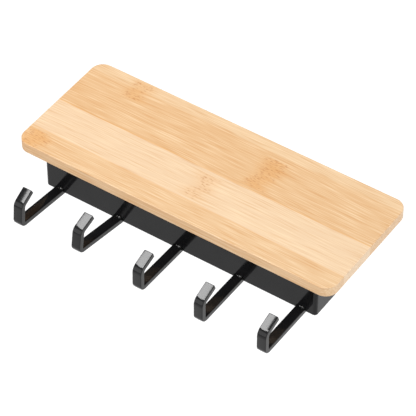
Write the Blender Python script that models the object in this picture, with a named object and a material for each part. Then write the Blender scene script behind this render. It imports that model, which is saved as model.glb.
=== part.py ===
"""Wall hook rack: a bamboo shelf board on a black sheet-steel housing with five bent-bar hooks.

Units are metres and +Z is up. +X runs along the board and +Y goes into the wall. The origin is
the middle of the wall plate's rear face, the face that lies against the wall.
"""

import math

import bmesh
import bpy
from mathutils import Matrix, Vector

MM = 0.001
GAP = 0.3 * MM  # clearance between pieces that touch

# Shelf board
BOARD_LENGTH = 260 * MM
BOARD_DEPTH = 99.3 * MM
BOARD_THICKNESS = 8.3 * MM
BOARD_CORNER = 9.5 * MM
BOARD_EASE = 0.5 * MM  # rounding along the top and bottom rims

# Housing: an inverted sheet-steel tray, open below and behind
SHEET = 1.5 * MM
HOUSING_LENGTH = 226.8 * MM
HOUSING_HEIGHT = 34.6 * MM
FRONT_SETBACK = 10.2 * MM  # from the board's front edge to the housing's front face
HOUSING_CORNER = 2.5 * MM
HOUSING_EASE = 0.4 * MM
RETURN_WIDTH = 12 * MM  # rear flanges that carry the wall plate

# Wall plate
PLATE = 2 * MM
PLATE_CORNER = 2.5 * MM
KEYHOLE_SPACING = 140 * MM
KEYHOLE_ENTRY_RADIUS = 4.6 * MM
KEYHOLE_SLOT_RADIUS = 2.3 * MM
KEYHOLE_RISE = 9 * MM
KEYHOLE_ENTRY_Z = -4 * MM

# Hooks: flat bar bent the easy way, the tail clamped under the rail inside the housing
HOOK_PITCH = 50.7 * MM
BAR_WIDTH = 7.3 * MM
BAR_THICKNESS = 4.1 * MM
BAR_EASE = 0.6 * MM
ARM_BELOW_EDGE = 1.4 * MM  # how far the arm's underside hangs below the housing's lower edge
ARM_REACH = 46.55 * MM  # housing face to the upright's centreline
UPRIGHT_RISE = 16.9 * MM
TIP_SLOPE = math.radians(20)
HEEL_RADIUS = 5.8 * MM
BEND_RADIUS = 4.55 * MM  # at the centreline
TAIL_LENGTH = 25 * MM

# How the hooks differ: the arm's lift and sideways swing, the tip's length and its extra opening
HOOK_LIFT = [math.radians(a) for a in (5.8, 8.7, 1.4, 0.1, 0.3)]
HOOK_SWING = [math.radians(a) for a in (-0.8, -1.9, -0.3, -0.4, -0.2)]
HOOK_OPENING = [math.radians(a) for a in (16, 9, 1, 1, 0)]
TIP_LENGTH = [length * MM for length in (12.3, 13.4, 14.3, 14.3, 14.3)]

# Rail: a steel angle behind the front face
RAIL_SHEET = 2 * MM
RAIL_LEG = 24 * MM
RAIL_UPSTAND = 18 * MM
RAIL_LENGTH = 218 * MM

# Fasteners
HOOK_SCREW = {"shank": 1.7 * MM, "head": 3.8 * MM, "height": 2.6 * MM}
BOARD_SCREW = {"shank": 1.5 * MM, "head": 3.4 * MM, "height": 2.2 * MM}
BOARD_SCREW_BITE = 5.5 * MM  # how far a screw goes into the board
BOARD_SCREW_X = 92 * MM
BOARD_SCREW_ROWS = (0.52, 0.88)  # shares of the board's depth, from its front edge
HOOK_SCREW_BACK = 14.8 * MM  # behind the housing's front face
RIVET_SHANK = 1.9 * MM
RIVET_HEAD = 3.5 * MM
RIVET_DOME = 1.2 * MM
RIVET_FLARE = 3 * MM
RIVET_FLARE_DEPTH = 1.2 * MM
RIVET_Z = 10 * MM
ROUND_STEPS = 16

# Levels and planes that follow from the sizes above
HOUSING_TOP = HOUSING_HEIGHT / 2
HOUSING_BOTTOM = -HOUSING_HEIGHT / 2
BOARD_UNDERSIDE = HOUSING_TOP
FACE_Y = FRONT_SETBACK - BOARD_DEPTH
HOUSING_BACK = -PLATE - GAP
ARM_Z = HOUSING_BOTTOM - ARM_BELOW_EDGE + BAR_THICKNESS / 2
ARM_TOP = ARM_Z + BAR_THICKNESS / 2
PANEL_UNDERSIDE = HOUSING_TOP - GAP - SHEET
HOOK_X = [HOOK_PITCH * (i - 2) for i in range(5)]
RIVET_X = HOUSING_LENGTH / 2 - SHEET - RETURN_WIDTH / 2
KEYHOLE_X = (-KEYHOLE_SPACING / 2, KEYHOLE_SPACING / 2)


def clear_scene():
    for thing in list(bpy.data.objects):
        bpy.data.objects.remove(thing)


def make_material(name, colour, roughness, metallic):
    material = bpy.data.materials.new(name)
    material.use_nodes = True
    shader = material.node_tree.nodes["Principled BSDF"]
    shader.inputs["Base Color"].default_value = (*colour, 1)
    shader.inputs["Roughness"].default_value = roughness
    shader.inputs["Metallic"].default_value = metallic
    return material


def add_object(name, bm, material=None):
    """Turns a bmesh into a named object. Without a material it is a hidden cutter."""
    bmesh.ops.recalc_face_normals(bm, faces=bm.faces)
    mesh = bpy.data.meshes.new(name)
    bm.to_mesh(mesh)
    bm.free()
    thing = bpy.data.objects.new(name, mesh)
    bpy.context.scene.collection.objects.link(thing)
    if material is None:
        thing.hide_render = True
        thing.display_type = "WIRE"
        return thing
    mesh.materials.append(material)
    mesh.shade_smooth()
    mesh.set_sharp_from_angle(angle=math.radians(30))
    return thing


def round_corners(corners, steps=6):
    """Outline points for corners given as (u, v, radius), each radius turned into an arc."""
    outline = []
    count = len(corners)
    for i, (u, v, radius) in enumerate(corners):
        here = Vector((u, v))
        if radius <= 0:
            outline.append(here)
            continue
        before = (Vector(corners[i - 1][:2]) - here).normalized()
        after = (Vector(corners[(i + 1) % count][:2]) - here).normalized()
        half = before.angle(after) / 2
        centre = here + (before + after).normalized() * (radius / math.sin(half))
        start = here + before * (radius / math.tan(half)) - centre
        sweep = start.angle_signed(here + after * (radius / math.tan(half)) - centre)
        for k in range(steps + 1):
            outline.append(centre + Matrix.Rotation(-sweep * k / steps, 2) @ start)
    return outline


def add_prism(bm, outline, low, high, place):
    """Adds the solid between the outline at low and at high; place(u, v, w) gives its points."""
    bottom = [bm.verts.new(place(p[0], p[1], low)) for p in outline]
    top = [bm.verts.new(place(p[0], p[1], high)) for p in outline]
    bm.faces.new(bottom)
    bm.faces.new(top)
    for i in range(len(outline)):
        j = (i + 1) % len(outline)
        bm.faces.new((bottom[i], bottom[j], top[j], top[i]))


def upright(u, v, w):
    """A plan outline, extruded upwards."""
    return Vector((u, v, w))


def sideways(u, v, w):
    """An outline of (y, z) points, extruded along X."""
    return Vector((w, u, v))


def inwards(u, v, w):
    """An outline of (x, z) points, extruded along Y."""
    return Vector((u, w, v))


def rectangle(u_low, u_high, v_low, v_high, radii=(0, 0, 0, 0), steps=6):
    """Outline of a rectangle; radii are for its low-low, high-low, high-high, low-high corners."""
    spots = ((u_low, v_low), (u_high, v_low), (u_high, v_high), (u_low, v_high))
    return round_corners([(u, v, r) for (u, v), r in zip(spots, radii)], steps)


def circle(u, v, radius):
    turns = [2 * math.pi * i / ROUND_STEPS for i in range(ROUND_STEPS)]
    return [(u + radius * math.cos(a), v + radius * math.sin(a)) for a in turns]


def add_turned(bm, profile, spot, axis):
    """Adds a solid of revolution. The profile is (radius, height) pairs, ends on the axis left out."""
    turn = Vector((0, 0, 1)).rotation_difference(axis).to_matrix()
    rings = []
    for radius, height in profile:
        ring = [Vector((x, y, height)) for x, y in circle(0, 0, radius)]
        rings.append([bm.verts.new(spot + turn @ p) for p in ring])
    for lower, upper in zip(rings, rings[1:]):
        for i in range(ROUND_STEPS):
            j = (i + 1) % ROUND_STEPS
            bm.faces.new((lower[i], lower[j], upper[j], upper[i]))
    bm.faces.new(rings[0])
    bm.faces.new(rings[-1])


def ease_edges(thing, width, segments=2):
    bevel = thing.modifiers.new("eased_edges", "BEVEL")
    bevel.width = width
    bevel.segments = segments
    bevel.limit_method = "ANGLE"
    bevel.angle_limit = math.radians(40)


def cut(thing, name, bm):
    modifier = thing.modifiers.new(name, "BOOLEAN")
    modifier.operation = "DIFFERENCE"
    modifier.object = add_object(name, bm)


def board_screw_spots():
    rows = [-BOARD_DEPTH * (1 - share) for share in BOARD_SCREW_ROWS]
    return [(x, y) for y in rows for x in (-BOARD_SCREW_X, 0, BOARD_SCREW_X)]


def rivet_spots():
    return [(x, z) for z in (-RIVET_Z, RIVET_Z) for x in (-RIVET_X, RIVET_X)]


def make_board(material):
    bm = bmesh.new()
    half = BOARD_LENGTH / 2
    outline = rectangle(-half, half, -BOARD_DEPTH, 0, [BOARD_CORNER] * 4, steps=8)
    add_prism(bm, outline, BOARD_UNDERSIDE, BOARD_UNDERSIDE + BOARD_THICKNESS, upright)
    board = add_object("shelf_board", bm, material)
    ease_edges(board, BOARD_EASE)
    holes = bmesh.new()
    depth = BOARD_UNDERSIDE + BOARD_SCREW_BITE + GAP
    for x, y in board_screw_spots():
        pilot = circle(x, y, BOARD_SCREW["shank"] + GAP)
        add_prism(holes, pilot, BOARD_UNDERSIDE - MM, depth, upright)
    cut(board, "pilot_holes", holes)


def make_housing(material):
    half = HOUSING_LENGTH / 2
    top = HOUSING_TOP - GAP
    corners = [HOUSING_CORNER, HOUSING_CORNER, 0, 0]
    bm = bmesh.new()
    outline = rectangle(-half, half, FACE_Y, HOUSING_BACK, corners)
    add_prism(bm, outline, HOUSING_BOTTOM, top, upright)
    housing = add_object("housing", bm, material)
    ease_edges(housing, HOUSING_EASE)

    hollow = bmesh.new()
    inner = half - SHEET
    inner_corner = HOUSING_CORNER - SHEET
    below = HOUSING_BOTTOM - MM
    front = FACE_Y + SHEET
    back = HOUSING_BACK - SHEET
    mouth = inner - RETURN_WIDTH
    behind = HOUSING_BACK + MM
    corners = [
        (-inner, front, inner_corner),
        (inner, front, inner_corner),
        (inner, back, 0),
        (mouth, back, 0),
        (mouth, behind, 0),
        (-mouth, behind, 0),
        (-mouth, back, 0),
        (-inner, back, 0),
    ]
    add_prism(hollow, round_corners(corners), below, PANEL_UNDERSIDE, upright)
    cut(housing, "hollow", hollow)

    openings = bmesh.new()
    notch = BAR_WIDTH / 2 + GAP
    for x in HOOK_X:
        slot = rectangle(x - notch, x + notch, below, ARM_TOP + GAP)
        add_prism(openings, slot, FACE_Y - MM, front + MM, inwards)
    for x, y in board_screw_spots():
        hole = circle(x, y, BOARD_SCREW["shank"] + GAP)
        add_prism(openings, hole, PANEL_UNDERSIDE - MM, top + MM, upright)
    for x, z in rivet_spots():
        add_prism(openings, circle(x, z, RIVET_SHANK + GAP), back - MM, behind, inwards)
    cut(housing, "notches_and_holes", openings)


def keyhole(x):
    """Outline of a keyhole: a round entry with a narrower slot rising from it."""
    neck = math.asin(KEYHOLE_SLOT_RADIUS / KEYHOLE_ENTRY_RADIUS)
    start = math.pi / 2 + neck
    turn = 2 * math.pi - 2 * neck
    outline = []
    for i in range(ROUND_STEPS + 1):
        a = start + turn * i / ROUND_STEPS
        u = x + KEYHOLE_ENTRY_RADIUS * math.cos(a)
        outline.append((u, KEYHOLE_ENTRY_Z + KEYHOLE_ENTRY_RADIUS * math.sin(a)))
    half_steps = ROUND_STEPS // 2
    for i in range(half_steps + 1):
        a = math.pi * i / half_steps
        u = x + KEYHOLE_SLOT_RADIUS * math.cos(a)
        z = KEYHOLE_ENTRY_Z + KEYHOLE_RISE + KEYHOLE_SLOT_RADIUS * math.sin(a)
        outline.append((u, z))
    return outline


def make_wall_plate(material):
    half = HOUSING_LENGTH / 2 - GAP
    low = HOUSING_BOTTOM + GAP
    high = HOUSING_TOP - 2 * GAP
    bm = bmesh.new()
    outline = rectangle(-half, half, low, high, [PLATE_CORNER] * 4)
    add_prism(bm, outline, -PLATE, 0, inwards)
    plate = add_object("wall_plate", bm, material)
    openings = bmesh.new()
    for x in KEYHOLE_X:
        add_prism(openings, keyhole(x), -PLATE - MM, MM, inwards)
    for x, z in rivet_spots():
        flare = RIVET_FLARE + GAP
        shank = RIVET_SHANK + GAP
        beyond = (flare - shank) * MM / RIVET_FLARE_DEPTH
        profile = ((shank, -PLATE - MM), (shank, -RIVET_FLARE_DEPTH), (flare + beyond, MM))
        add_turned(openings, profile, Vector((x, 0, z)), Vector((0, 1, 0)))
    cut(plate, "keyholes_and_rivet_holes", openings)


def make_rail(material):
    front = FACE_Y + SHEET + GAP
    floor = ARM_TOP + GAP
    corners = [
        (front, floor, RAIL_SHEET),
        (front + RAIL_LEG, floor, 0),
        (front + RAIL_LEG, floor + RAIL_SHEET, 0),
        (front + RAIL_SHEET, floor + RAIL_SHEET, RAIL_SHEET / 2),
        (front + RAIL_SHEET, floor + RAIL_UPSTAND, 0),
        (front, floor + RAIL_UPSTAND, 0),
    ]
    bm = bmesh.new()
    add_prism(bm, round_corners(corners), -RAIL_LENGTH / 2, RAIL_LENGTH / 2, sideways)
    rail = add_object("hook_rail", bm, material)
    holes = bmesh.new()
    for x in HOOK_X:
        hole = circle(x, FACE_Y + HOOK_SCREW_BACK, HOOK_SCREW["shank"] + GAP)
        add_prism(holes, hole, floor - MM, floor + RAIL_SHEET + MM, upright)
    cut(rail, "screw_holes", holes)


def offset_path(path, distance):
    """Corner points of the line that runs beside a path of points, mitred at its bends."""
    side = []
    for i, here in enumerate(path):
        directions = []
        if i > 0:
            directions.append((here - path[i - 1]).normalized())
        if i < len(path) - 1:
            directions.append((path[i + 1] - here).normalized())
        normals = [Vector((-d.y, d.x)) for d in directions]
        middle = sum(normals, Vector((0, 0))).normalized()
        side.append(here + middle * (distance / middle.dot(normals[0])))
    return side


def hook_outline(lift, opening, tip_length):
    """Side view of a hook as (y, z) points: tail, arm, upright and inward-leaning tip."""
    slope = TIP_SLOPE + opening
    root = Vector((FACE_Y, ARM_Z))
    heel = root + Vector((-ARM_REACH, 0))
    bend = heel + Vector((0, UPRIGHT_RISE))
    tip = bend + tip_length * Vector((math.cos(slope), math.sin(slope)))
    raise_arm = Matrix.Rotation(-lift, 2)
    outboard = [root + raise_arm @ (p - root) for p in (heel, bend, tip)]
    path = [root + Vector((TAIL_LENGTH, 0)), root, *outboard]
    half = BAR_THICKNESS / 2
    outer = offset_path(path, half)
    inner = offset_path(path, -half)
    outer_radii = (0, 0, HEEL_RADIUS, BEND_RADIUS + half, 0)
    inner_radii = (0, 0, 0, BEND_RADIUS - half, 0)
    corners = [(p.x, p.y, r) for p, r in zip(outer, outer_radii)]
    corners += [(p.x, p.y, r) for p, r in reversed(list(zip(inner, inner_radii)))]
    return round_corners(corners)


def make_hook(number, x, lift, swing, opening, tip_length, material):
    bm = bmesh.new()
    half = BAR_WIDTH / 2
    add_prism(bm, hook_outline(lift, opening, tip_length), x - half, x + half, sideways)
    everything = [*bm.verts, *bm.edges, *bm.faces]
    bmesh.ops.bisect_plane(bm, geom=everything, plane_co=(0, FACE_Y, 0), plane_no=(0, 1, 0))
    for vertex in bm.verts:
        outboard = max(0, FACE_Y - vertex.co.y)
        vertex.co.x += outboard * math.tan(swing)
    hook = add_object(f"hook_{number}", bm, material)
    ease_edges(hook, BAR_EASE)
    hole = bmesh.new()
    outline = circle(x, FACE_Y + HOOK_SCREW_BACK, HOOK_SCREW["shank"] + GAP)
    add_prism(hole, outline, ARM_TOP - BAR_THICKNESS - MM, ARM_TOP + MM, upright)
    cut(hook, f"tapped_hole_{number}", hole)


def make_screw(name, size, length, spot, axis, material):
    """A pan-head screw. The spot is under its head and the axis points from there to its end."""
    head = size["head"]
    height = size["height"]
    shank = size["shank"]
    profile = (
        (head * 0.55, -height),
        (head * 0.85, -height * 0.86),
        (head, -height * 0.5),
        (head, 0),
        (shank, 0),
        (shank, length - shank * 0.6),
        (shank * 0.5, length),
    )
    bm = bmesh.new()
    add_turned(bm, profile, spot, axis)
    screw = add_object(name, bm, material)
    recess = bmesh.new()
    arm = head * 0.45
    blade = head * 0.11
    high = spot - axis * (height + MM)
    low = spot - axis * (height * 0.45)
    z_low, z_high = sorted((high.z, low.z))
    cross = [
        (-arm, -blade),
        (-blade, -blade),
        (-blade, -arm),
        (blade, -arm),
        (blade, -blade),
        (arm, -blade),
        (arm, blade),
        (blade, blade),
        (blade, arm),
        (-blade, arm),
        (-blade, blade),
        (-arm, blade),
    ]
    add_prism(recess, [(spot.x + u, spot.y + v) for u, v in cross], z_low, z_high, upright)
    cut(screw, f"{name}_recess", recess)


def make_hook_screws(material):
    seat = ARM_TOP + GAP + RAIL_SHEET + GAP
    length = seat - (ARM_TOP - BAR_THICKNESS) - GAP
    for number, x in enumerate(HOOK_X, start=1):
        spot = Vector((x, FACE_Y + HOOK_SCREW_BACK, seat))
        make_screw(f"hook_screw_{number}", HOOK_SCREW, length, spot, Vector((0, 0, -1)), material)


def make_board_screws(material):
    seat = PANEL_UNDERSIDE - GAP
    length = BOARD_UNDERSIDE + BOARD_SCREW_BITE - seat
    for number, (x, y) in enumerate(board_screw_spots(), start=1):
        spot = Vector((x, y, seat))
        make_screw(f"board_screw_{number}", BOARD_SCREW, length, spot, Vector((0, 0, 1)), material)


def make_rivets(material):
    """Rivets with a dome inside the housing and a flush flare in the plate's rear face."""
    seat = HOUSING_BACK - SHEET - GAP
    profile = (
        (RIVET_HEAD * 0.4, seat - RIVET_DOME),
        (RIVET_HEAD * 0.8, seat - RIVET_DOME * 0.75),
        (RIVET_HEAD, seat),
        (RIVET_SHANK, seat),
        (RIVET_SHANK, -RIVET_FLARE_DEPTH),
        (RIVET_FLARE, -GAP / 2),
    )
    for number, (x, z) in enumerate(rivet_spots(), start=1):
        bm = bmesh.new()
        add_turned(bm, profile, Vector((x, 0, z)), Vector((0, 1, 0)))
        add_object(f"plate_rivet_{number}", bm, material)


def build():
    clear_scene()
    bamboo = make_material("bamboo", (0.86, 0.60, 0.33), 0.45, 0)
    black = make_material("black_paint", (0.015, 0.015, 0.016), 0.22, 0)
    zinc = make_material("zinc_steel", (0.62, 0.63, 0.65), 0.35, 1)
    make_board(bamboo)
    make_housing(black)
    make_wall_plate(black)
    make_rail(black)
    for i, x in enumerate(HOOK_X):
        make_hook(i + 1, x, HOOK_LIFT[i], HOOK_SWING[i], HOOK_OPENING[i], TIP_LENGTH[i], black)
    make_hook_screws(zinc)
    make_board_screws(zinc)
    make_rivets(zinc)


build()
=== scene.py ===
"""Looks for the wall hook rack: a bamboo shelf board, a gloss black housing and five bar hooks.

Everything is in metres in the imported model's frame: X runs along the board, +Y goes into the
wall and +Z is up.
"""

import math

import bmesh
import bpy
from mathutils import Matrix, Vector


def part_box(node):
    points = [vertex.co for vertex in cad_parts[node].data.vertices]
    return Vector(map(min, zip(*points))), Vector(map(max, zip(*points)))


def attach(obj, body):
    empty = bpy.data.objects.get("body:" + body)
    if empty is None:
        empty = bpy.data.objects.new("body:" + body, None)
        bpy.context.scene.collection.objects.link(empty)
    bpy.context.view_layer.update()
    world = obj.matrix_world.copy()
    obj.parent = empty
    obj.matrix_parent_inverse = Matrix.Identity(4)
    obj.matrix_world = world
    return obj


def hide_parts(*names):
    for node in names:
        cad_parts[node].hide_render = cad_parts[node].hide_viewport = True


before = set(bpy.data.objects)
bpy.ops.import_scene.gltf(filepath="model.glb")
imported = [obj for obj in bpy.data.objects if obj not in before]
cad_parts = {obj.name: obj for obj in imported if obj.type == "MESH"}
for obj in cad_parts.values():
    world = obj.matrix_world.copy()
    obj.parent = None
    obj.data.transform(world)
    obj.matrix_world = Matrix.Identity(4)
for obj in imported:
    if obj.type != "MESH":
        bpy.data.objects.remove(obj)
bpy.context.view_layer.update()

MM = 0.001

# Meshes
MERGE_DISTANCE = 0.001 * MM
SHARP_ANGLE = math.radians(35)  # edges bent further than this stay sharp

# Shelf board
BOARD_HALF_LENGTH = 130 * MM
BOARD_CORNER = 9.5 * MM
BOARD_CORNER_STEPS = 16
BOARD_EASE = 0.4 * MM
BOARD_EASE_STEPS = 5

# Hooks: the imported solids' driving dimensions, with finer edges and slightly bulging flats
BAR_WIDTH = 7.3 * MM
BAR_THICKNESS = 4.1 * MM
BAR_EASE = 0.5 * MM
BAR_EASE_STEPS = 5
BAR_SHARPEST = 0.01 * MM  # smallest radius of the bar's long edges, at the tip's end
BAR_CROWN = 0.16 * MM  # how far the bar's flats bulge
BAR_FLAT_PIECES = 6  # how many pieces a flat is split into, so that it can bulge
ARM_REACH = 46.55 * MM  # housing face to the upright's centreline
UPRIGHT_RISE = 16.9 * MM
TIP_SLOPE = math.radians(20)
HEEL_RADIUS = 5.8 * MM  # at the outer face
INNER_HEEL_RADIUS = 0.4 * MM
BEND_RADIUS = 4.55 * MM  # at the centreline
BEND_STEPS = 14

# Hooks 1 to 5: how far each is bent up and sideways at its root, how much steeper its tip is
# than TIP_SLOPE, and how long that tip is
HOOK_LIFT = [math.radians(a) for a in (5.8, 8.7, 1.4, 0.1, 0.3)]
HOOK_SWING = [math.radians(a) for a in (-0.8, -1.9, -0.3, -0.4, -0.2)]
HOOK_OPENING = [math.radians(a) for a in (16, 9, 1, 1, 0)]
TIP_LENGTH = [length * MM for length in (12.3, 13.4, 14.3, 14.3, 14.3)]

# Turned-out lip of each notch, where an arm's top meets the housing
LIP_LENGTH = 4.8 * MM
LIP_RADIUS = 0.5 * MM
LIP_END = 0.04  # smallest share of that radius, at its ends
LIP_END_POWER = 8  # how suddenly it ends
LIP_BEAD = 0.4  # middle of its swollen end, as a share of half its length
LIP_BEAD_REACH = 0.48  # how far the swelling goes on both sides, as the same share
LIP_BEAD_POWER = 6  # how suddenly the swelling ends
LIP_SWELL = 1.3  # how much it adds to the radius, as a share of it
LIP_FALL = 0.26  # share of the swelling that it loses over half its length, towards +X
LIP_FACING = math.radians(60.5)  # its flattened side's rise above straight ahead
LIP_OFFSET = 0.6 * MM  # its middle's distance from the arm's middle, towards +X
LIP_AHEAD = 0.15 * MM  # its centreline's distance in front of the housing
LIP_ABOVE = 0.1 * MM  # its centreline's height above the arm's top
LIP_STEPS = 32
LIP_SIDES = 24

# Camera
AIM = Vector((10.27, -67.04, 9.91)) * MM
CAMERA_AZIMUTH = math.radians(34.495)
CAMERA_ELEVATION = math.radians(44.943)
CAMERA_ROLL = math.radians(-0.128)
CAMERA_DISTANCE = 1822.4 * MM
CAMERA_LENS = 229.44  # millimetres
CAMERA_SENSOR = 36  # millimetres wide
CAMERA_NEAR = 0.05  # nothing nearer than this is seen

# Studio
FLOOR_Z = -2.0
FLOOR_RADIUS = 18.0
FLOOR_SIDES = 96
FLOOR_GREY = (0.60, 0.60, 0.60, 1)
FLOOR_PALE_GREY = (0.64, 0.64, 0.64, 1)
FLOOR_PATCHES = (0.3, 0.3, 0.3)  # per metre
FLOOR_GLOW = 0.55
FLOOR_GLOW_FORWARD = 6.0  # how much further the glow reaches in front
FLOOR_GLOW_RADII = (2.8, 4.4)  # the glow is full within the first and gone beyond the second
KEY_AIM = Vector((0, -0.13, 0))  # near the hooks' tips
KEY_CENTRE = Vector((-0.356, -0.185, 0.91))  # direction from there
KEY_LONG_WAY = Vector((0.43, -0.90, 0))  # its long side's direction, seen from above
KEY_DISTANCE = 2.5
KEY_SIZE = (0.86, 1.34)
KEY_POWER = 65.0

# Room light by the Y and by the X of its direction: (from, to, strength at from, strength at to)
ROOM_FRONT_TO_BACK = (-0.9, 0.5, 0.50, 0.08)
ROOM_LEFT_TO_RIGHT = (0.1, 0.9, 0.0, 1.8)

# Pale card low in front of the rack
FILL_CENTRE = Vector((-0.41, -0.84, 0.26))  # its direction
FILL_SPREAD = (0.89, 0.96)  # cosine of the angle from its centre, at its rim and where it is full
FILL_STRENGTH = 1.5


# ---------------------------------------------------------------- node helpers

NOISE_GAIN = 4.0  # brings the noise's usual range to about -1 to 1


def add_node(tree, kind, inputs=None, **settings):
    """Adds a node. Settings are its properties, and inputs maps a socket to a value or a link."""
    node = tree.nodes.new(kind)
    for name, value in settings.items():
        setattr(node, name, value)
    for socket, value in (inputs or {}).items():
        if isinstance(value, bpy.types.NodeSocket):
            tree.links.new(value, node.inputs[socket])
        else:
            node.inputs[socket].default_value = value
    return node


def maths(tree, operation, *values):
    inputs = dict(enumerate(values))
    return add_node(tree, "ShaderNodeMath", inputs, operation=operation).outputs[0]


def ramp(tree, value, low, high, to_low=0.0, to_high=1.0):
    """Maps low..high to to_low..to_high smoothly, held beyond both ends."""
    inputs = {"Value": value, 1: low, 2: high, 3: to_low, 4: to_high}
    node = add_node(tree, "ShaderNodeMapRange", inputs, interpolation_type="SMOOTHSTEP")
    return node.outputs[0]


def mix(tree, factor, first, second):
    """Blends two colours, from all of the first at 0 to all of the second at 1."""
    node = add_node(tree, "ShaderNodeMix", data_type="RGBA")
    for socket, value in (("Factor_Float", factor), ("A_Color", first), ("B_Color", second)):
        target = next(s for s in node.inputs if s.identifier == socket)
        if isinstance(value, bpy.types.NodeSocket):
            tree.links.new(value, target)
        else:
            target.default_value = value
    return next(s for s in node.outputs if s.identifier == "Result_Color")


def noise(tree, place, stretch, detail=2.0, roughness=0.5, offset=(0, 0, 0)):
    """Noise around 0, mostly within 1, whose grain is about 1/stretch metres along each axis."""
    inputs = {"Vector": place, "Scale": stretch, "Location": offset}
    mapping = add_node(tree, "ShaderNodeMapping", inputs)
    inputs = {"Vector": mapping.outputs[0], "Scale": 1.0, "Detail": detail, "Roughness": roughness}
    field = add_node(tree, "ShaderNodeTexNoise", inputs)
    return maths(tree, "MULTIPLY_ADD", field.outputs["Fac"], NOISE_GAIN, -NOISE_GAIN / 2)


def new_material(name):
    material = bpy.data.materials.new(name)
    material.use_nodes = True
    tree = material.node_tree
    place = add_node(tree, "ShaderNodeTexCoord").outputs["Object"]
    return material, tree, tree.nodes["Principled BSDF"], place


def add_bump(tree, shader, height, strength, distance):
    inputs = {"Strength": strength, "Distance": distance, "Height": height}
    bump = add_node(tree, "ShaderNodeBump", inputs)
    tree.links.new(bump.outputs[0], shader.inputs["Normal"])


# ---------------------------------------------------------------- materials

# Bamboo: where the middle, back and rear strips begin in Y, and the albedo of all four strips
STRIP_EDGES = (-81.6 * MM, -49.3 * MM, -9.5 * MM)
FRONT_TONE = (0.585, 0.380, 0.207, 1)
MIDDLE_TONE = (0.625, 0.452, 0.293, 1)
BACK_TONE = (0.568, 0.350, 0.178, 1)
REAR_TONE = (0.606, 0.418, 0.246, 1)
SEAM_SOFTNESS = 0.35 * MM
FRONT_SEAM_SLANT = 0.0073  # metres in Y per metre in X
FRONT_SEAM_STAIN = 0.3
BACK_SEAM_STAIN = 0.45
STAIN_REACH = (0.2 * MM, 1.0 * MM)  # full within the first distance and gone beyond the second

# Dark fibre colour, also the colour of the painted shade on the board's long edges
DARK_FIBRE_AND_EDGE_SHADE = (0.48, 0.22, 0.06, 1)
KNUCKLE_TONE = (0.57, 0.27, 0.07, 1)
NODE_SPECK = (0.38, 0.15, 0.045, 1)
PALE_FIBRE = (0.735, 0.565, 0.370, 1)
END_GRAIN = (0.75, 0.58, 0.41, 1)

# Bamboo's patterns: grains per metre along X, Y and Z
BEND_GRAIN = (9, 22, 22)
BAND_GRAIN = (7, 110, 110)
STREAK_GRAIN = (17, 800, 800)
FIBRE_GRAIN = (34, 1250, 1250)
PORE_GRAIN = (900, 620, 900)
KNUCKLE_EDGE_GRAIN = (25, 130, 60)
FIBRE_END_GRAIN = (300, 1050, 400)

# How the streaks, bands and fibres darken and bleach the wood: (starts at, full at, weight)
DARKENING = ((0.0, 1.1, 0.22), (0.1, 1.2, 0.10), (0.1, 0.8, 0.52))
BLEACHING = ((0.0, -1.1, 0.30), (0.0, -1.1, 0.12), (-0.1, -0.7, 0.42))
DARKEST = 0.55
CONTRAST = 0.85
PALE_STRIP_CONTRAST_LOSS = 0.25
BEND_REACH = 1.6 * MM  # how far the fibres wander off their line
# How much paler the board gets towards its right end, rising evenly from the left
RIGHT_END_PALING = 0.14
# Painted shade: how far the board's long front and back edges are darkened, as if less lit than the
# top
LONG_EDGE_PAINTED_SHADE = 0.15
END_GRAIN_SHARE = 0.2
PALE_STRIP_END_GRAIN = 0.25  # how much more of it the pale strip shows
PORE_RANGE = (0.0, 0.9)
PORE_DARKENING = 0.35
EDGE_FACING = (0.75, 0.98)  # a normal's part along an axis, where an edge's tone starts and is full
BAMBOO_ROUGHNESS = 0.46
STREAK_ROUGHNESS = 0.04
FIBRE_HEIGHT = 0.6  # against the streaks' relief
SPECK_HEIGHT = -0.8

# Growth nodes of the bamboo: (x, lowest y, highest y, strength)
KNUCKLES = (
    (-120 * MM, -100 * MM, -82 * MM, 1.3),
    (-87 * MM, -22 * MM, 0 * MM, 0.8),
    (34 * MM, -48 * MM, -14 * MM, 1.0),
    (3 * MM, -80 * MM, -52 * MM, 0.55),
)
KNUCKLE_REACH = (1 * MM, 15 * MM)  # full within the first distance and gone beyond the second
KNUCKLE_FADE = 2 * MM
KNUCKLE_WANDER = 4.5 * MM
KNUCKLE_TINT = 0.38
SPECK_TINTS = (0.25, 0.6)  # specks start where the tint is the first, and are full at the second
SPECK_RANGE = (0.2, 0.6)
SPECK_SHARE = 0.56

# Paint: the sheet steel takes a copy of the bars' paint that reflects less, painted shade on the
# housing
BAR_PAINT_IOR = 1.36
SHEET_PAINT_SHADED_IOR = 1.27
PAINT_BLACK = (0.0045, 0.0045, 0.005, 1)
PAINT_WORN_BLACK = (0.008, 0.008, 0.0085, 1)
PAINT_ROUGHNESS = 0.12
CLOUD_ROUGHNESS = 0.015
DUST_GREY = (0.10, 0.10, 0.10, 1)
DUST_RANGE = (1.0, 1.4)
DUST_SHARE = 0.10
DUST_ROUGHNESS = 0.12
DUST_HEIGHT = 0.25  # against the orange peel's relief
ORANGE_PEEL_GRAIN = (620, 620, 620)
CLOUD_GRAIN = (45, 45, 45)
DUST_GRAIN = (2300, 2300, 2300)

# Zinc plate
ZINC_DULL = (0.52, 0.53, 0.55, 1)
ZINC_BRIGHT = (0.70, 0.70, 0.69, 1)
ZINC_ROUGHNESS = 0.33
ZINC_PATCH_ROUGHNESS = 0.05
ZINC_PATCH_GRAIN = (420, 420, 420)
TURNING_MARK_GRAIN = (500, 500, 5200)


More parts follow.
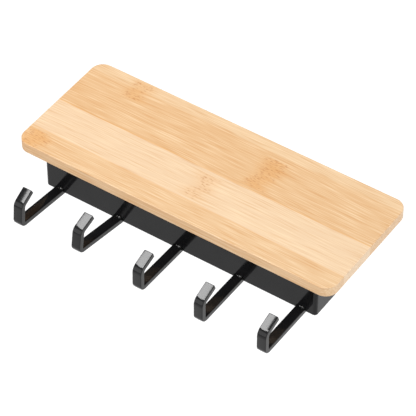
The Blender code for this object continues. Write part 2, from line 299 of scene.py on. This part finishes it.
def strip_tones(tree, x, y):
    """Returns (tone, pale_strip): the colour of the glued strips, and 1 in the middle, pale one."""
    slant = maths(tree, "MULTIPLY", x, FRONT_SEAM_SLANT)
    front_line = maths(tree, "ADD", y, slant)
    edge = SEAM_SOFTNESS
    front, middle, rear = STRIP_EDGES
    in_middle = ramp(tree, front_line, front - edge, front + edge)
    in_back = ramp(tree, y, middle - edge, middle + edge)
    in_rear = ramp(tree, y, rear - 2 * edge, rear + 2 * edge)
    tone = mix(tree, in_middle, FRONT_TONE, MIDDLE_TONE)
    tone = mix(tree, in_back, tone, BACK_TONE)
    tone = mix(tree, in_rear, tone, REAR_TONE)
    stained_seams = ((front_line, front, FRONT_SEAM_STAIN), (y, middle + edge, BACK_SEAM_STAIN))
    for line, seam, strength in stained_seams:
        away = maths(tree, "ABSOLUTE", maths(tree, "SUBTRACT", line, seam))
        stain = ramp(tree, away, *STAIN_REACH, strength, 0.0)
        tone = mix(tree, stain, tone, KNUCKLE_TONE)
    return tone, maths(tree, "MULTIPLY", in_middle, maths(tree, "SUBTRACT", 1.0, in_back))


def knuckle_marks(tree, place, x, y):
    """Returns (tint, specks): a soft band of tone and the short dark fibre ends inside it."""
    wobble = noise(tree, place, KNUCKLE_EDGE_GRAIN, detail=3.0)
    wandering = maths(tree, "MULTIPLY_ADD", wobble, KNUCKLE_WANDER, x)
    tint = None
    for centre, low, high, strength in KNUCKLES:
        away = maths(tree, "ABSOLUTE", maths(tree, "SUBTRACT", wandering, centre))
        along = ramp(tree, away, *KNUCKLE_REACH, strength, 0.0)
        across = maths(
            tree,
            "MULTIPLY",
            ramp(tree, y, low, low + KNUCKLE_FADE),
            ramp(tree, y, high - KNUCKLE_FADE, high, 1.0, 0.0),
        )
        patch = maths(tree, "MULTIPLY", along, across)
        tint = patch if tint is None else maths(tree, "MAXIMUM", tint, patch)
    fibre_ends = noise(tree, place, FIBRE_END_GRAIN, detail=2.0, offset=(3, 1, 7))
    specks = ramp(tree, fibre_ends, *SPECK_RANGE)
    return tint, maths(tree, "MULTIPLY", specks, ramp(tree, tint, *SPECK_TINTS))


def weighted_sum(tree, patterns, weights):
    """Adds up patterns by their (starts at, full at, weight)."""
    total = 0.0
    for pattern, (start, full, weight) in zip(patterns, weights):
        total = maths(tree, "MULTIPLY_ADD", ramp(tree, pattern, start, full), weight, total)
    return total


def grain_pattern(tree, place):
    """Returns (streaks, dark, pale, height): the long streaks, how much all the grain darkens and
    bleaches a place, and its relief."""
    bands = noise(tree, place, BAND_GRAIN, detail=2.0)
    streaks = noise(tree, place, STREAK_GRAIN, detail=2.0, roughness=0.6, offset=(2, 9, 4))
    fibres = noise(tree, place, FIBRE_GRAIN, detail=1.0, offset=(7, 3, 1))
    patterns = (streaks, bands, fibres)
    dark = maths(tree, "MINIMUM", weighted_sum(tree, patterns, DARKENING), DARKEST)
    pale = weighted_sum(tree, patterns, BLEACHING)
    height = maths(tree, "MULTIPLY_ADD", fibres, FIBRE_HEIGHT, streaks)
    return streaks, dark, pale, height


def show_ends_and_shade_edges(tree, place, colour, pale_strip):
    """Paints shade on the board's long edges and shows end grain with pores on its two ends."""
    normal = add_node(tree, "ShaderNodeNewGeometry").outputs["True Normal"]
    facing = add_node(tree, "ShaderNodeSeparateXYZ", {0: normal})
    end = ramp(tree, maths(tree, "ABSOLUTE", facing.outputs[0]), *EDGE_FACING)
    edge_shade = maths(tree, "ABSOLUTE", facing.outputs[1])
    edge_shade = ramp(tree, edge_shade, *EDGE_FACING, 0.0, LONG_EDGE_PAINTED_SHADE)
    # Painted shade on the long edges
    colour = mix(tree, edge_shade, colour, DARK_FIBRE_AND_EDGE_SHADE)
    pores = noise(tree, place, PORE_GRAIN, detail=2.0)
    pores = ramp(tree, pores, *PORE_RANGE, 0.0, PORE_DARKENING)
    end_colour = mix(tree, pores, END_GRAIN, DARK_FIBRE_AND_EDGE_SHADE)
    share = maths(tree, "MULTIPLY_ADD", pale_strip, PALE_STRIP_END_GRAIN, END_GRAIN_SHARE)
    return mix(tree, maths(tree, "MULTIPLY", end, share), colour, end_colour)


def bamboo():
    """Satin-lacquered bamboo laminated from strips, with the grain along X."""
    material, tree, shader, place = new_material("bamboo")
    axes = add_node(tree, "ShaderNodeSeparateXYZ", {0: place})
    x, y = axes.outputs[0], axes.outputs[1]
    bend = noise(tree, place, BEND_GRAIN, detail=1.0, offset=(5, 2, 0))
    bent_y = maths(tree, "MULTIPLY_ADD", bend, BEND_REACH, y)
    inputs = {0: x, 1: bent_y, 2: axes.outputs[2]}
    shifted = add_node(tree, "ShaderNodeCombineXYZ", inputs).outputs[0]
    colour, pale_strip = strip_tones(tree, x, y)
    # Paler towards the right end
    towards_right = ramp(tree, x, -BOARD_HALF_LENGTH, BOARD_HALF_LENGTH)
    drift = maths(tree, "MULTIPLY", towards_right, RIGHT_END_PALING)
    colour = mix(tree, drift, colour, PALE_FIBRE)

    streaks, dark, pale, height = grain_pattern(tree, shifted)
    contrast = maths(tree, "MULTIPLY_ADD", pale_strip, -PALE_STRIP_CONTRAST_LOSS, CONTRAST)
    colour = mix(tree, maths(tree, "MULTIPLY", dark, contrast), colour, DARK_FIBRE_AND_EDGE_SHADE)
    colour = mix(tree, pale, colour, PALE_FIBRE)

    tint, specks = knuckle_marks(tree, shifted, x, y)
    colour = mix(tree, maths(tree, "MULTIPLY", tint, KNUCKLE_TINT), colour, KNUCKLE_TONE)
    colour = mix(tree, maths(tree, "MULTIPLY", specks, SPECK_SHARE), colour, NODE_SPECK)
    colour = show_ends_and_shade_edges(tree, place, colour, pale_strip)
    tree.links.new(colour, shader.inputs["Base Color"])

    sheen = maths(tree, "MULTIPLY_ADD", streaks, STREAK_ROUGHNESS, BAMBOO_ROUGHNESS)
    tree.links.new(sheen, shader.inputs["Roughness"])
    height = maths(tree, "MULTIPLY_ADD", specks, SPECK_HEIGHT, height)
    add_bump(tree, shader, height, strength=0.22, distance=0.06 * MM)
    shader.inputs["Specular IOR Level"].default_value = 0.35
    shader.inputs["Coat Weight"].default_value = 0.08
    shader.inputs["Coat Roughness"].default_value = 0.3
    return material


def black_paint(name, ior):
    """Gloss black paint: faint orange peel, dust specks and a slightly varied sheen."""
    material, tree, shader, place = new_material(name)
    peel = noise(tree, place, ORANGE_PEEL_GRAIN, detail=2.0)
    cloud = noise(tree, place, CLOUD_GRAIN, detail=3.0, offset=(1, 4, 2))
    dust = noise(tree, place, DUST_GRAIN, detail=1.0, offset=(8, 3, 5))
    dust = ramp(tree, dust, *DUST_RANGE)
    tone = mix(tree, ramp(tree, cloud, -1.0, 1.0), PAINT_BLACK, PAINT_WORN_BLACK)
    tone = mix(tree, maths(tree, "MULTIPLY", dust, DUST_SHARE), tone, DUST_GREY)
    tree.links.new(tone, shader.inputs["Base Color"])
    gloss = maths(tree, "MULTIPLY_ADD", cloud, CLOUD_ROUGHNESS, PAINT_ROUGHNESS)
    gloss = maths(tree, "MULTIPLY_ADD", dust, DUST_ROUGHNESS, gloss)
    tree.links.new(gloss, shader.inputs["Roughness"])
    height = maths(tree, "MULTIPLY_ADD", dust, DUST_HEIGHT, peel)
    add_bump(tree, shader, height, strength=0.30, distance=0.008 * MM)
    shader.inputs["IOR"].default_value = ior
    return material


def zinc_steel():
    """Bright zinc plate with fine turning marks and dull patches."""
    material, tree, shader, place = new_material("zinc_steel")
    patches = noise(tree, place, ZINC_PATCH_GRAIN, detail=3.0)
    marks = noise(tree, place, TURNING_MARK_GRAIN, detail=2.0)
    tone = mix(tree, ramp(tree, patches, -1.0, 1.0), ZINC_DULL, ZINC_BRIGHT)
    tree.links.new(tone, shader.inputs["Base Color"])
    gloss = maths(tree, "MULTIPLY_ADD", patches, ZINC_PATCH_ROUGHNESS, ZINC_ROUGHNESS)
    tree.links.new(gloss, shader.inputs["Roughness"])
    add_bump(tree, shader, marks, strength=0.25, distance=0.02 * MM)
    shader.inputs["Metallic"].default_value = 1.0
    return material


# ---------------------------------------------------------------- mesh helpers


def round_corners(corners, steps):
    """Outline points for corners given as (u, v, radius), each radius turned into an arc."""
    outline = []
    count = len(corners)
    for i, (u, v, radius) in enumerate(corners):
        here = Vector((u, v))
        if radius <= 0:
            outline.append(here)
            continue
        before = (Vector(corners[i - 1][:2]) - here).normalized()
        after = (Vector(corners[(i + 1) % count][:2]) - here).normalized()
        half = before.angle(after) / 2
        centre = here + (before + after).normalized() * (radius / math.sin(half))
        start = here + before * (radius / math.tan(half)) - centre
        sweep = start.angle_signed(here + after * (radius / math.tan(half)) - centre)
        for k in range(steps + 1):
            outline.append(centre + Matrix.Rotation(-sweep * k / steps, 2) @ start)
    return outline


def skin_rings(bm, rings):
    """Joins rings of points with quads and closes both ends."""
    loops = [[bm.verts.new(p) for p in ring] for ring in rings]
    for lower, upper in zip(loops, loops[1:]):
        for i in range(len(lower)):
            j = (i + 1) % len(lower)
            bm.faces.new((lower[i], lower[j], upper[j], upper[i]))
    bm.faces.new(loops[0])
    bm.faces.new(loops[-1])


def add_piece(name, bm, material, slot, *stands_for):
    """Turns a bmesh into a piece that rides the rack and takes the given material; its slot is not
    used.
    """
    bmesh.ops.remove_doubles(bm, verts=bm.verts, dist=MERGE_DISTANCE)
    bmesh.ops.recalc_face_normals(bm, faces=bm.faces)
    mesh = bpy.data.meshes.new(name)
    bm.to_mesh(mesh)
    bm.free()
    piece = bpy.data.objects.new(name, mesh)
    bpy.context.scene.collection.objects.link(piece)
    mesh.materials.append(material)
    mesh.shade_smooth()
    mesh.set_sharp_from_angle(angle=SHARP_ANGLE)
    piece.modifiers.new("even_shading", "WEIGHTED_NORMAL").keep_sharp = True
    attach(piece, "root")
    if stands_for:
        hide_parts(*stands_for)


# ---------------------------------------------------------------- board


def build_board(material):
    """The shelf board as a rounded slab with softly eased rims."""
    low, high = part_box("shelf_board")
    levels = []
    for k in range(BOARD_EASE_STEPS + 1):
        turn = math.pi / 2 * k / BOARD_EASE_STEPS
        inset = BOARD_EASE * (1 - math.sin(turn))
        levels.append((inset, low.z + BOARD_EASE * (1 - math.cos(turn))))
    levels += [(inset, low.z + high.z - z) for inset, z in reversed(levels)]
    rings = []
    for inset, z in levels:
        corner = BOARD_CORNER - inset
        u0, v0, u1, v1 = low.x + inset, low.y + inset, high.x - inset, high.y - inset
        corners = [(u0, v0, corner), (u1, v0, corner), (u1, v1, corner), (u0, v1, corner)]
        outline = round_corners(corners, BOARD_CORNER_STEPS)
        rings.append([Vector((u, v, z)) for u, v in outline])
    bm = bmesh.new()
    skin_rings(bm, rings)
    add_piece("bamboo_board", bm, material, "bamboo", "shelf_board")


# ---------------------------------------------------------------- hooks


def offset_path(path, distance):
    """Corner points of the line that runs beside a path of points, mitred at its bends."""
    beside = []
    for i, here in enumerate(path):
        directions = []
        if i > 0:
            directions.append((here - path[i - 1]).normalized())
        if i < len(path) - 1:
            directions.append((path[i + 1] - here).normalized())
        normals = [Vector((-d.y, d.x)) for d in directions]
        middle = sum(normals, Vector((0, 0))).normalized()
        beside.append(here + middle * (distance / middle.dot(normals[0])))
    return beside


def open_outline(path, radii, steps):
    """Path points with rounded inner corners. The two ends stay where they are."""
    corners = [(p.x, p.y, r) for p, r in zip(path, radii)]
    return round_corners(corners, steps)


def cut_flats(outline, pieces):
    """Splits an outline's long stretches, so that its flats can bulge."""
    finer = []
    for i, here in enumerate(outline):
        ahead = outline[(i + 1) % len(outline)]
        count = pieces if (ahead - here).length > 2 * BAR_EASE else 1
        finer += [here.lerp(ahead, k / count) for k in range(count)]
    return finer


def bar_section(outer, inner, x, inset):
    """Ring of points of the bar's rounded rectangle between an outer and an inner edge point."""
    across = outer - inner
    half = across.length / 2 - inset
    across.normalize()
    centre = (outer + inner) / 2
    wide = BAR_WIDTH / 2 - inset
    corner = max(BAR_EASE - inset, BAR_SHARPEST)
    corners = [(-wide, -half), (wide, -half), (wide, half), (-wide, half)]
    outline = round_corners([(u, v, corner) for u, v in corners], BAR_EASE_STEPS)
    outline = cut_flats(outline, BAR_FLAT_PIECES)
    ring = []
    for u, v in outline:
        crown = BAR_CROWN * (1 - (u / (BAR_WIDTH / 2)) ** 2) * max(-1, min(1, v / half))
        rise = v + crown
        ring.append(Vector((x + u, centre.x + across.x * rise, centre.y + across.y * rise)))
    return ring


def build_hook(number, material):
    """One hook: a rounded flat bar swept along tail, arm, upright and inward-leaning tip."""
    node = f"hook_{number}"
    low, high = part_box(node)
    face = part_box("housing")[0].y
    lift, swing = HOOK_LIFT[number - 1], HOOK_SWING[number - 1]
    slope = TIP_SLOPE + HOOK_OPENING[number - 1]
    x = high.x - BAR_WIDTH / 2
    arm_z = low.z + BAR_THICKNESS / 2
    root = Vector((face, arm_z))
    heel = root + Vector((-ARM_REACH, 0))
    bend = heel + Vector((0, UPRIGHT_RISE))
    tip = bend + TIP_LENGTH[number - 1] * Vector((math.cos(slope), math.sin(slope)))
    raise_arm = Matrix.Rotation(-lift, 2)
    outboard = [root + raise_arm @ (p - root) for p in (heel, bend, tip)]
    path = [Vector((high.y, arm_z)), root, *outboard]
    half = BAR_THICKNESS / 2
    outer_radii = (0, 0, HEEL_RADIUS, BEND_RADIUS + half, 0)
    inner_radii = (0, 0, INNER_HEEL_RADIUS, BEND_RADIUS - half, 0)
    outer = open_outline(offset_path(path, half), outer_radii, BEND_STEPS)
    inner = open_outline(offset_path(path, -half), inner_radii, BEND_STEPS)
    stations = [(outer_point, inner_point, 0) for outer_point, inner_point in zip(outer, inner)]
    end_outer, end_inner, _ = stations.pop()
    ahead = (path[-1] - path[-2]).normalized()
    for k in range(BAR_EASE_STEPS + 1):
        turn = math.pi / 2 * k / BAR_EASE_STEPS
        back = ahead * (BAR_EASE * (1 - math.sin(turn)))
        stations.append((end_outer - back, end_inner - back, BAR_EASE * (1 - math.cos(turn))))
    rings = []
    for outer_point, inner_point, inset in stations:
        ring = bar_section(outer_point, inner_point, x, inset)
        for p in ring:
            p.x += max(0, face - p.y) * math.tan(swing)
        rings.append(ring)
    bm = bmesh.new()
    skin_rings(bm, rings)
    add_piece(f"bar_hook_{number}", bm, material, "black_paint", node)


def lip_section(radius):
    """Outline of the lip's cross-section: a square with round corners, (towards -Y, up)."""
    outline = []
    for k in range(LIP_SIDES):
        turn = 2 * math.pi * k / LIP_SIDES
        out = math.copysign(math.sqrt(abs(math.cos(turn))), math.cos(turn))
        up = math.copysign(math.sqrt(abs(math.sin(turn))), math.sin(turn))
        outline.append(Matrix.Rotation(LIP_FACING, 2) @ Vector((out, up)) * radius)
    return outline


def build_lip(number, material):
    """The turned-out lip of a notch: a short rounded ridge on the arm's top at the housing."""
    low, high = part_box(f"hook_{number}")
    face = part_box("housing")[0].y
    x = high.x - BAR_WIDTH / 2 + LIP_OFFSET
    centre_y = face - LIP_AHEAD
    centre_z = low.z + BAR_THICKNESS + LIP_ABOVE
    rings = []
    for k in range(LIP_STEPS + 1):
        along = -1 + 2 * k / LIP_STEPS
        width = max(LIP_END, math.sqrt(max(0, 1 - along**LIP_END_POWER)))
        beyond = along - LIP_BEAD
        bead = math.exp(-((beyond / LIP_BEAD_REACH) ** LIP_BEAD_POWER)) * (1 - LIP_FALL * beyond)
        outline = lip_section(LIP_RADIUS * width * (1 + LIP_SWELL * bead))
        here = x + along * LIP_LENGTH / 2
        rings.append([Vector((here, centre_y - p.x, centre_z + p.y)) for p in outline])
    bm = bmesh.new()
    skin_rings(bm, rings)
    add_piece(f"notch_lip_{number}", bm, material, "black_paint")


# ---------------------------------------------------------------- studio


def build_floor():
    """A plain pale floor that glows around the rack, like a light table."""
    bm = bmesh.new()
    bmesh.ops.create_circle(bm, cap_ends=True, radius=FLOOR_RADIUS, segments=FLOOR_SIDES)
    mesh = bpy.data.meshes.new("floor")
    bm.to_mesh(mesh)
    bm.free()
    floor = bpy.data.objects.new("floor", mesh)
    floor.location = (0, 0, FLOOR_Z)
    bpy.context.scene.collection.objects.link(floor)
    material, tree, shader, place = new_material("studio_floor")
    patches = noise(tree, place, FLOOR_PATCHES, detail=1.0)
    tone = mix(tree, ramp(tree, patches, -1.0, 1.0), FLOOR_GREY, FLOOR_PALE_GREY)
    tree.links.new(tone, shader.inputs["Base Color"])
    axes = add_node(tree, "ShaderNodeSeparateXYZ", {0: place})
    depth = maths(tree, "MULTIPLY", axes.outputs[1], 1 / FLOOR_GLOW_FORWARD)
    depth = maths(tree, "MAXIMUM", depth, axes.outputs[1])
    away = add_node(tree, "ShaderNodeCombineXYZ", {0: axes.outputs[0], 1: depth})
    radius = add_node(tree, "ShaderNodeVectorMath", {0: away.outputs[0]}, operation="LENGTH")
    inner, outer = FLOOR_GLOW_RADII
    glow = ramp(tree, radius.outputs["Value"], inner, outer, FLOOR_GLOW, 0.0)
    tree.links.new(glow, shader.inputs["Emission Strength"])
    shader.inputs["Emission Color"].default_value = (1, 1, 1, 1)
    shader.inputs["Roughness"].default_value = 0.9
    shader.inputs["Specular IOR Level"].default_value = 0.0
    mesh.materials.append(material)


def build_world():
    """Soft room light: brighter in front and to the right, with a pale card low in front."""
    world = bpy.data.worlds.new("studio")
    bpy.context.scene.world = world
    world.use_nodes = True
    tree = world.node_tree
    direction = add_node(tree, "ShaderNodeTexCoord").outputs["Generated"]
    axes = add_node(tree, "ShaderNodeSeparateXYZ", {0: direction})
    front = ramp(tree, axes.outputs[1], *ROOM_FRONT_TO_BACK)
    right = ramp(tree, axes.outputs[0], *ROOM_LEFT_TO_RIGHT)
    strength = maths(tree, "ADD", front, right)
    inputs = {0: direction, 1: FILL_CENTRE.normalized()}
    towards = add_node(tree, "ShaderNodeVectorMath", inputs, operation="DOT_PRODUCT")
    card = ramp(tree, towards.outputs["Value"], *FILL_SPREAD, 0.0, FILL_STRENGTH)
    strength = maths(tree, "ADD", strength, card)
    background = tree.nodes["Background"]
    background.inputs["Color"].default_value = (1, 1, 1, 1)
    tree.links.new(strength, background.inputs["Strength"])


def build_key_light():
    """A long softbox high in front of the rack, turned so that the hooks' tips mirror it."""
    data = bpy.data.lights.new("key_softbox", "AREA")
    data.shape = "RECTANGLE"
    data.size, data.size_y = KEY_SIZE
    data.energy = KEY_POWER
    light = bpy.data.objects.new("key_softbox", data)
    away = KEY_CENTRE.normalized()
    long_way = (KEY_LONG_WAY - away * KEY_LONG_WAY.dot(away)).normalized()
    turned = Matrix((long_way.cross(away), long_way, away)).transposed()
    place = Matrix.Translation(KEY_AIM + away * KEY_DISTANCE)
    light.matrix_world = place @ turned.to_4x4()
    bpy.context.scene.collection.objects.link(light)


def build_camera():
    data = bpy.data.cameras.new("camera")
    data.sensor_width = CAMERA_SENSOR
    data.lens = CAMERA_LENS
    data.clip_start = CAMERA_NEAR
    camera = bpy.data.objects.new("camera", data)
    azimuth, elevation = CAMERA_AZIMUTH, CAMERA_ELEVATION
    back_x = math.sin(azimuth) * math.cos(elevation)
    back_y = -math.cos(azimuth) * math.cos(elevation)
    back = Vector((back_x, back_y, math.sin(elevation)))
    level = Vector((math.cos(azimuth), math.sin(azimuth), 0))
    upward = back.cross(level)
    right = level * math.cos(CAMERA_ROLL) + upward * math.sin(CAMERA_ROLL)
    turned = Matrix((right, back.cross(right), back)).transposed()
    camera.matrix_world = Matrix.Translation(AIM + back * CAMERA_DISTANCE) @ turned.to_4x4()
    bpy.context.scene.collection.objects.link(camera)
    bpy.context.scene.camera = camera


# ---------------------------------------------------------------- assembly


def paint_cad_node(name, material):
    """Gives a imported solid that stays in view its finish."""
    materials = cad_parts[name].data.materials
    materials.clear()
    materials.append(material)


def build():
    """Makes every finish, piece and light."""
    wood = bamboo()
    paint = black_paint("bar_paint", BAR_PAINT_IOR)
    # The sheet steel's copy reflects less than the bars': painted shade on the housing and its
    # plates
    shaded_sheet_paint = black_paint("shaded_sheet_paint", SHEET_PAINT_SHADED_IOR)
    zinc = zinc_steel()
    build_board(wood)
    for number in range(1, len(HOOK_LIFT) + 1):
        build_hook(number, paint)
        build_lip(number, paint)
    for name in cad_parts:
        # the housing and its plates take the paint that carries painted shade
        if name in ("housing", "wall_plate", "hook_rail"):
            paint_cad_node(name, shaded_sheet_paint)
        elif "screw" in name or "rivet" in name:
            paint_cad_node(name, zinc)
    build_floor()
    build_world()
    build_key_light()
    build_camera()
    bpy.context.scene.view_settings.view_transform = "Standard"


build()
